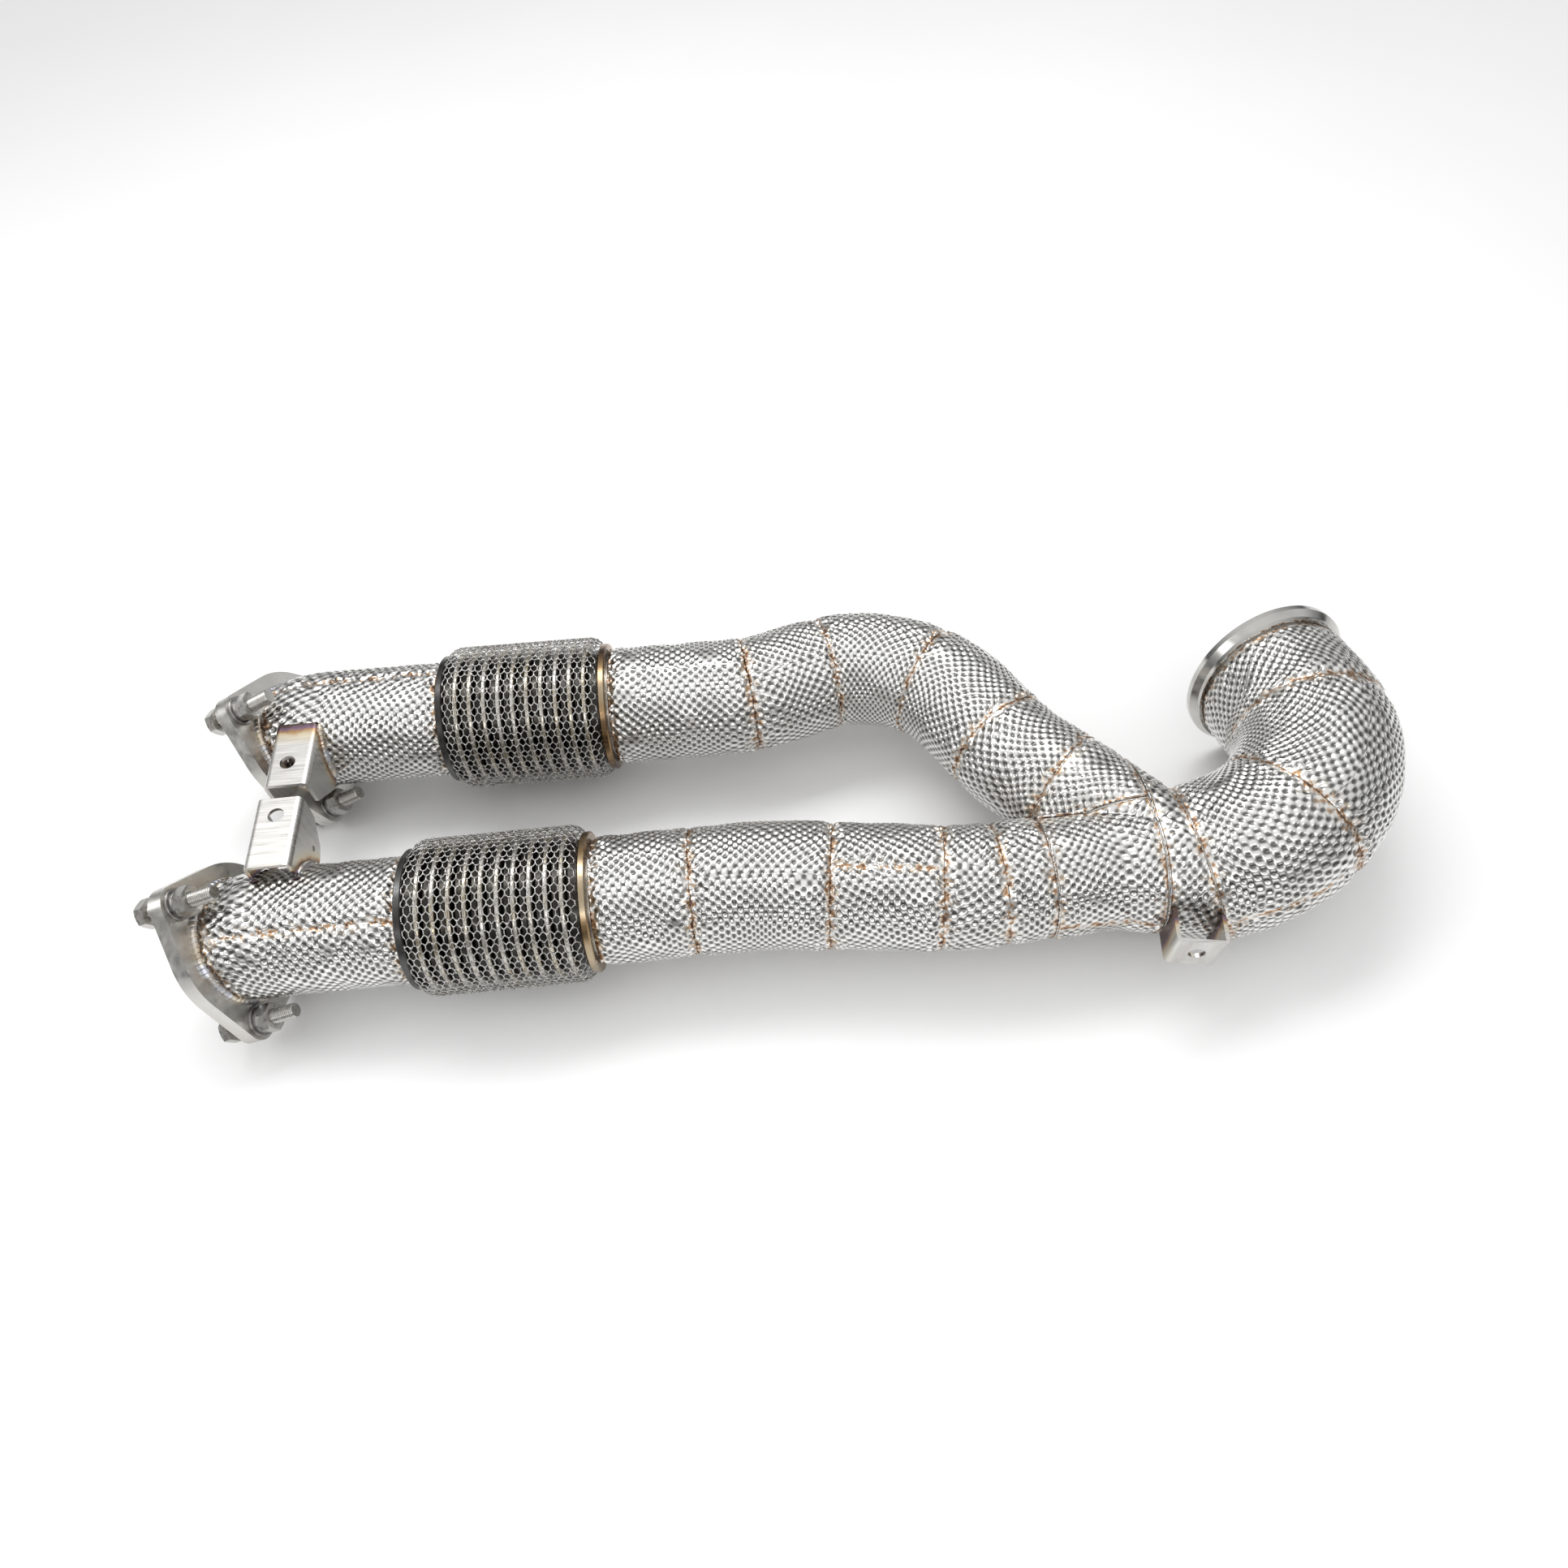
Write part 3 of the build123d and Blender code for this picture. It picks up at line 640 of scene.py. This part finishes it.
# ---------------------------------------------------------------- outlets
class Outlet:
    """Where one leg's flexible joint and flange are, in millimetres."""

    def __init__(self, leg, flex, along):
        self.leg = leg
        self.flex = flex
        self.along = along
        mount = MOUNTS[f"{leg}_outlet"]
        self.into = -unit(mount["axis"])
        self.centre = np.array(mount["pos_m"]) / MM + self.into * 9.0
        self.level = unit(np.cross(UP, along))
        self.rise = np.cross(self.into, self.level)
        dip = math.acos(np.clip(self.into @ along, -1, 1))
        corner = self.centre + self.into * (4 + 60 * math.tan(dip / 2))
        self.route = Route([self.centre - self.into * 9.5, corner, flex - along * FLEX_END], [60])

    def bolt(self, number):
        """Centre of a bolt hole on the flange's leg-side face."""
        angle = math.radians(CLOCKS[self.leg] + 120 * number)
        return self.centre + BOLT_CIRCLE_R * (self.level * math.cos(angle) + self.rise * math.sin(angle))


OUTLETS = [Outlet("near", NEAR_FLEX, NEAR_ALONG), Outlet("far", FAR_FLEX, FAR_ALONG)]


def turned(points, origin, x, y, z):
    """Points moved from the axes x, y and z at an origin to the part's own frame."""
    return origin + points[..., :1] * x + points[..., 1:2] * y + points[..., 2:] * z


def lathe_points(profile, columns, start=0.0, sweep=TAU):
    """Points of a profile of (radius, height) pairs turned about z."""
    profile = np.asarray(profile, float)
    theta = start + np.arange(columns) / columns * sweep
    r, z = profile[:, :1], profile[:, 1:]
    return np.stack([r * np.cos(theta), r * np.sin(theta), z + 0 * theta], -1)


def bead(name, body, line, radius, ripple, out, closed=False):
    """A rippled weld bead along a line of points; out points away from the corner it fills."""
    ahead = np.roll(line, -1, 0) if closed else np.concatenate([line[1:], 2 * line[-1:] - line[-2:-1]])
    forward = unit(ahead - line)
    out = unit(out - forward * (out * forward).sum(1)[:, None])
    side = np.cross(forward, out)
    distance = np.concatenate([[0], np.cumsum(np.linalg.norm(np.diff(line, axis=0), axis=1))])
    theta = np.arange(BEAD_SIDES) / BEAD_SIDES * TAU
    lag = 0.35 * ripple * np.cos(theta)[None]
    phase = (distance[:, None] + lag) / ripple % 1
    scale = radius * (0.84 + 0.18 * np.sqrt(np.clip(phase, 0, 1)))
    scale = scale * (1 + 0.07 * waves(line, 9, 77))[:, None]
    if not closed:
        taper = np.sqrt(np.clip(np.minimum(distance, distance[-1] - distance) / (2 * radius) + 0.02, 0, 1))
        scale = scale * taper[:, None]
    shape = line[:, None] + scale[..., None] * (
        out[:, None] * np.cos(theta)[:, None] + side[:, None] * np.sin(theta)[:, None]
    )
    # painted shade in the troughs between the ripples, and no scorch
    values = {"painted_shade": np.clip(1 - phase * 3, 0, 1) * 0.9, "tint": phase * 0}
    faces = grid_faces(len(line), BEAD_SIDES, loop_rows=closed)
    return settle(mesh_object(name, shape.reshape(-1, 3), faces, WELD, values), body)


def hex_prism(low, high, apothem, low_chamfer, high_chamfer, hole=0.0):
    """Points of a hexagon with its corners turned down at one or both ends."""
    theta = np.arange(HEX_COLUMNS) / HEX_COLUMNS * TAU
    flat = apothem / np.cos((theta + TAU / 12) % (TAU / 6) - TAU / 12)
    over = (flat - apothem * 0.97) * math.tan(math.radians(30))
    inner = max(hole, 0.01)
    rows = [(inner + 0 * flat, low + 0 * flat)]
    if low_chamfer:
        rows.append((0 * flat + apothem * 0.95, low + 0 * flat))
    rows.append((flat, low + (np.maximum(over, 0.05) if low_chamfer else 0 * flat)))
    rows.append((flat - 0.02, low + (high - low) / 2 + 0 * flat))
    rows.append((flat, high - (np.maximum(over, 0.05) if high_chamfer else 0 * flat)))
    if high_chamfer:
        rows.append((0 * flat + apothem * 0.95, high + 0 * flat))
    rows.append((inner + 0 * flat, high + 0 * flat))
    return np.array([np.stack([r * np.cos(theta), r * np.sin(theta), z], -1) for r, z in rows])


def bolt_shape():
    """A fully threaded screw under a chamfered hexagon head."""
    head = hex_prism(HEAD_SEAT - HEAD_HEIGHT, HEAD_SEAT, HEAD_APOTHEM, True, False)
    z = np.arange(HEAD_SEAT - 0.4, STUD_END, 0.14)
    theta = np.arange(THREAD_COLUMNS) / THREAD_COLUMNS * TAU
    wave = 0.5 - 0.5 * np.cos(TAU * z[:, None] / THREAD_PITCH - theta)
    radius = THREAD_R - THREAD_DEPTH * wave ** 1.2
    radius = np.minimum(radius, 4.05 + np.clip(STUD_END - z, 0, 2)[:, None] * 0.9)
    shank = np.stack([radius * np.cos(theta), radius * np.sin(theta), z[:, None] + 0 * radius], -1)
    tip = np.stack([0.01 * np.cos(theta), 0.01 * np.sin(theta), 0 * theta + STUD_END], -1)[None]
    return head, np.concatenate([shank, tip])


def two_grids(first, second, origin, axes):
    """The points and faces of two turned grids as one mesh."""
    a, b = (turned(points, origin, *axes).reshape(-1, 3) for points in (first, second))
    faces = [
        grid_faces(first.shape[0], first.shape[1]),
        grid_faces(second.shape[0], second.shape[1], first=len(a)),
    ]
    return np.concatenate([a, b]), np.concatenate(faces)


def washer_pair():
    """A flat washer under a spring washer with its split, as points and faces."""
    disc = [(5.3, 0.02), (10.3, 0.02), (10.5, 0.3), (10.5, 1.7), (10.2, 2.0), (5.3, 2.0)]
    flat = lathe_points(disc, WASHER_COLUMNS)
    coil = [(5.3, 2.0), (8.6, 2.0), (8.8, 2.25), (8.8, 4.35), (8.6, 4.6), (5.3, 4.6)]
    spring = lathe_points(coil, WASHER_COLUMNS, 0.35, TAU - 0.12)
    band = grid_faces(len(spring), WASHER_COLUMNS, True)
    column = band % WASHER_COLUMNS
    band = band[~((column == WASHER_COLUMNS - 1).any(1) & (column == 0).any(1))]
    ends = []
    for edge in (0, WASHER_COLUMNS - 1):
        ring = np.arange(len(spring)) * WASHER_COLUMNS + edge
        ends += [ring[[0, 1, 2, 3]], ring[[0, 3, 4, 5]]]
    first = len(flat) * WASHER_COLUMNS
    faces = [grid_faces(len(flat), WASHER_COLUMNS, True), first + band, first + np.array(ends)]
    return np.concatenate([flat.reshape(-1, 3), spring.reshape(-1, 3)]), np.concatenate(faces)


def fastener(outlet, number, place):
    """The screw, nut and washers in one of a flange's holes."""
    name = f"{outlet.leg}_{place}"
    body = f"{name}_fastener"
    origin = outlet.bolt(number)
    spin = 0.4 + 1.1 * number + len(outlet.leg)
    x = outlet.level * math.cos(spin) + outlet.rise * math.sin(spin)
    axes = (x, np.cross(outlet.into, x), outlet.into)
    vertices, faces = two_grids(*bolt_shape(), origin, axes)
    bolt = mesh_object(name + "_screw", vertices, faces, BOLT)
    bolt.data.set_sharp_from_angle(angle=math.radians(35))
    settle(bolt, body, [name + "_bolt"])

    hexagon = hex_prism(NUT_SEAT, NUT_SEAT + NUT_HEIGHT, HEAD_APOTHEM, True, True, NUT_BORE_R)
    nut_points = turned(hexagon, origin, *axes)
    rows, columns = nut_points.shape[:2]
    nut = mesh_object(name + "_hex_nut", nut_points.reshape(-1, 3), grid_faces(rows, columns, True), BOLT)
    nut.data.set_sharp_from_angle(angle=math.radians(35))
    settle(nut, body, [name + "_nut"])

    points, faces = washer_pair()
    washers = mesh_object(name + "_washer_pair", turned(points, origin, *axes), faces, WASHER)
    washers.data.set_sharp_from_angle(angle=math.radians(30))
    settle(washers, body, [name + "_washers"])


for outlet, seam_at, turn in zip(OUTLETS, (30, -15), (0.42, 0.85)):
    leg = outlet.leg
    foil(
        f"{leg}_outlet_wrap", f"{leg}_outlet", outlet.route, 13.7, outlet.route.length - 6,
        OUTLET_WRAP_R, LEG_TUBE_R, seam_at, turn, 500 + len(leg),
    )
    theta = np.arange(900) / 900 * TAU
    ring = outlet.level * np.cos(theta)[:, None] + outlet.rise * np.sin(theta)[:, None]
    line = outlet.centre + ring * 39.8 + outlet.into * 0.8
    made = bead(f"{leg}_flange_bead", f"{leg}_outlet", line, 2.8, 3.3, ring + outlet.into, closed=True)
    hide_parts(f"{leg}_flange_weld")
    for number, place in enumerate(("top", "near", "far")):
        fastener(outlet, number, place)


# the weld down one wall of each outlet bracket, from one angle round the pipe to another
for outlet, first, last in ((OUTLETS[0], 27.0, 74.0), (OUTLETS[1], -34.0, -96.0)):
    wall_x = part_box(f"{outlet.leg}_outlet_bracket")[1][0] / MM
    sweep = np.radians(np.linspace(first, last, 260))
    out = np.stack([0 * sweep, np.sin(sweep), np.cos(sweep)], -1)
    line = np.array([wall_x + 0.4, BRACKET_Y[outlet.leg], LEG_Z]) + (OUTLET_WRAP_R + 0.5) * out
    bead(f"{outlet.leg}_bracket_bead", f"{outlet.leg}_outlet", line, 2.8, 3.1, out + [1, 0, 0])


# ---------------------------------------------------------------- flexible joints
def sleeve_radius(x):
    """Outline of the knitted sleeve, with rounded shoulders."""
    edge = np.clip((FLEX_HALF - np.abs(x)) / 9.0, 0, 1)
    return SLEEVE_END_R + (SLEEVE_R - SLEEVE_END_R) * np.sqrt(1 - (1 - edge) ** 2)


def local_frame(outlet):
    """The origin and axes of a flexible joint, with the first axis along the pipe."""
    return outlet.flex, outlet.along, -outlet.level, UP


def knit_part(outlet, low, high):
    """Zigzag wires along the pipe and the short links between them, from low to high."""
    cell = MESH_CELL
    x = np.arange(low, high + 0.01, (high - low) / round((high - low) / (cell / 8)))
    pitch = TAU / MESH_ROWS
    around = np.arange(WIRE_SIDES) / WIRE_SIDES * TAU
    pieces, faces, count = [], [], 0

    def add_tube(axial, angle, lift, thick):
        nonlocal count
        radius = sleeve_radius(axial) + lift
        points = np.stack([axial, radius * np.sin(angle), radius * np.cos(angle)], -1)
        forward = unit(np.gradient(points, axis=0))
        outward = unit(np.stack([0 * axial, np.sin(angle), np.cos(angle)], -1))
        across = np.cross(forward, outward)
        outward = np.cross(across, forward)
        ring = outward[:, None] * np.cos(around)[:, None] + across[:, None] * np.sin(around)[:, None]
        pieces.append((points[:, None] + ring * thick).reshape(-1, 3))
        faces.append(grid_faces(len(points), WIRE_SIDES, first=count))
        count += len(points) * WIRE_SIDES

    for row in range(MESH_ROWS):
        phase = x / cell + row / 2
        zig = np.abs((phase % 1) * 2 - 1) * 2 - 1
        wander = 0.10 * waves(np.stack([x, 9.0 * row + 0 * x, 0 * x], -1), 17, 11)
        angle = row * pitch + pitch * (0.18 * np.clip(zig * 1.5, -1, 1) + wander)
        lift = 0.35 * np.cos(TAU * phase * 2)
        add_tube(x, angle, lift, WIRE_R)
        first = math.ceil((low - cell / 2) / cell)
        for number in range(first, math.floor(high / cell) + 2):
            centre = (number - row / 2 % 1) * cell
            if not low <= centre < high:
                continue
            span = np.linspace(0.16, 0.84, 6)
            bow = 0.35 * np.sin(span * math.pi)
            lean = 0.25 * (span - 0.5)
            add_tube(centre + lean, (row + span) * pitch, bow - 0.1, WIRE_R * 1.05)
    return turned(np.concatenate(pieces), *local_frame(outlet)), np.concatenate(faces)


def bellows_part(outlet, low, high):
    """The folds from low to high, as points, faces and the painted shade of each point, darkest in the folds."""
    rows = int((high - low) / 0.45) + 1
    x = np.linspace(low, high, rows)
    fold = 0.5 + 0.5 * np.cos(TAU * (x + FOLD_PITCH / 2) / FOLD_PITCH)
    crest = smooth((fold - 0.28) / 0.66)
    inside = smooth((FLEX_HALF - 3.8 - np.abs(x)) / 1.5)
    radius = FOLD_ROOT_R + FOLD_HEIGHT * crest * inside
    theta = np.arange(BELLOWS_COLUMNS) / BELLOWS_COLUMNS * TAU
    points = np.stack(
        [x[:, None] + 0 * theta, radius[:, None] * np.sin(theta), radius[:, None] * np.cos(theta)], -1
    )
    # painted shade: full in the folds and on the plain ends, none on the crests
    values = {"painted_shade": np.broadcast_to((1 - crest * inside)[:, None], (rows, BELLOWS_COLUMNS))}
    points = turned(points.reshape(-1, 3), *local_frame(outlet))
    return points, grid_faces(rows, BELLOWS_COLUMNS), values


for outlet in OUTLETS:
    leg = outlet.leg
    bodies = ["pipework", f"{leg}_flex_slide", f"{leg}_flex_swing", f"{leg}_outlet"]
    spans = [(THIRD, FLEX_HALF), (-THIRD, THIRD), (-FLEX_HALF, -THIRD)]
    for number, (low, high) in enumerate(spans):
        start = tuple((outlet.flex + outlet.along * high) * MM)
        end = tuple((outlet.flex + outlet.along * low) * MM)
        hinge = (bodies[number], bodies[number + 1], start, end)
        vertices, faces = knit_part(outlet, low, high)
        knit = mesh_object(f"{leg}_knit_{number + 1}", vertices, faces, KNIT)
        settle(knit, hinge, [f"{leg}_sleeve"])
        vertices, faces, values = bellows_part(outlet, low, high)
        folds = mesh_object(f"{leg}_folds_{number + 1}", vertices, faces, BELLOWS, values)
        settle(folds, hinge, [f"{leg}_bellows"])

# ---------------------------------------------------------------- stage, light and camera
FLOOR_GAP = 0.0005
floor_middle = (-0.35, 0, cad_box[0][2] - FLOOR_GAP)
bpy.ops.mesh.primitive_grid_add(x_subdivisions=8, y_subdivisions=8, size=16, location=floor_middle)
floor = bpy.context.object
floor.name = "floor"
paper = Nodes("pale_floor", metallic=0.0, roughness=0.8)
paper_tone = paper.ramp(paper.noise(3, 2), (0.3, (0.95, 0.95, 0.95)), (0.7, (0.97, 0.97, 0.97)))
paper.tree.links.new(paper_tone, paper.shader.inputs["Base Color"])
floor.data.materials.append(paper.material)


def area_light(name, place, aim, size, power):
    """A white rectangular lamp that faces a point."""
    data = bpy.data.lights.new(name, "AREA")
    data.shape = "RECTANGLE"
    data.size, data.size_y = size
    data.energy = power
    light = bpy.data.objects.new(name, data)
    light.location = place
    light.rotation_euler = (Vector(aim) - Vector(place)).to_track_quat("-Z", "Y").to_euler()
    bpy.context.scene.collection.objects.link(light)


area_light("key", (-0.55, 0.55, 1.35), (-0.35, -0.05, 0), (1.4, 0.45), 11)
area_light("front", (-0.3, -1.3, 1.0), (-0.35, -0.1, 0), (1.6, 0.25), 4)
area_light("side", (-1.7, -0.2, 0.7), (-0.35, -0.05, 0), (0.6, 0.4), 3)

# the room: dark near the floor's edge, for the foil's dark reflections, and pale overhead
world = bpy.data.worlds.new("studio")
world.use_nodes = True
bpy.context.scene.world = world
tree = world.node_tree
where = tree.nodes.new("ShaderNodeTexCoord")
split = tree.nodes.new("ShaderNodeSeparateXYZ")
sky = tree.nodes.new("ShaderNodeValToRGB")
tree.links.new(where.outputs["Generated"], split.inputs[0])
tree.links.new(split.outputs["Z"], sky.inputs["Fac"])
tree.links.new(sky.outputs["Color"], tree.nodes["Background"].inputs["Color"])
for element, (place, grey) in zip(
    (sky.color_ramp.elements[0], sky.color_ramp.elements[1], sky.color_ramp.elements.new(0.35)),
    ((0.05, 0.06), (0.95, 1.0), (0.55, 0.75)),
):
    element.position = place
    element.color = (grey, grey, grey, 1)
tree.nodes["Background"].inputs["Strength"].default_value = 0.95

CAMERA_PLACE = (-0.3528, -0.5145, 0.6475)
yaw, pitch, roll = 0.011, 0.955, -0.088
forward = np.array([math.sin(yaw) * math.cos(pitch), math.cos(yaw) * math.cos(pitch), -math.sin(pitch)])
right = np.array([math.cos(yaw), -math.sin(yaw), 0])
above = np.cross(right, forward)
right, above = (
    math.cos(roll) * right + math.sin(roll) * above,
    math.cos(roll) * above - math.sin(roll) * right,
)
camera_data = bpy.data.cameras.new("camera")
camera_data.sensor_width = 36
camera_data.lens = 26.59
camera = bpy.data.objects.new("camera", camera_data)
turn = np.stack([right, above, -forward], 1)
camera.matrix_world = Matrix.Translation(CAMERA_PLACE) @ Matrix(turn.tolist()).to_4x4()
bpy.context.scene.collection.objects.link(camera)
bpy.context.scene.camera = camera
bpy.context.scene.view_settings.view_transform = "Standard"
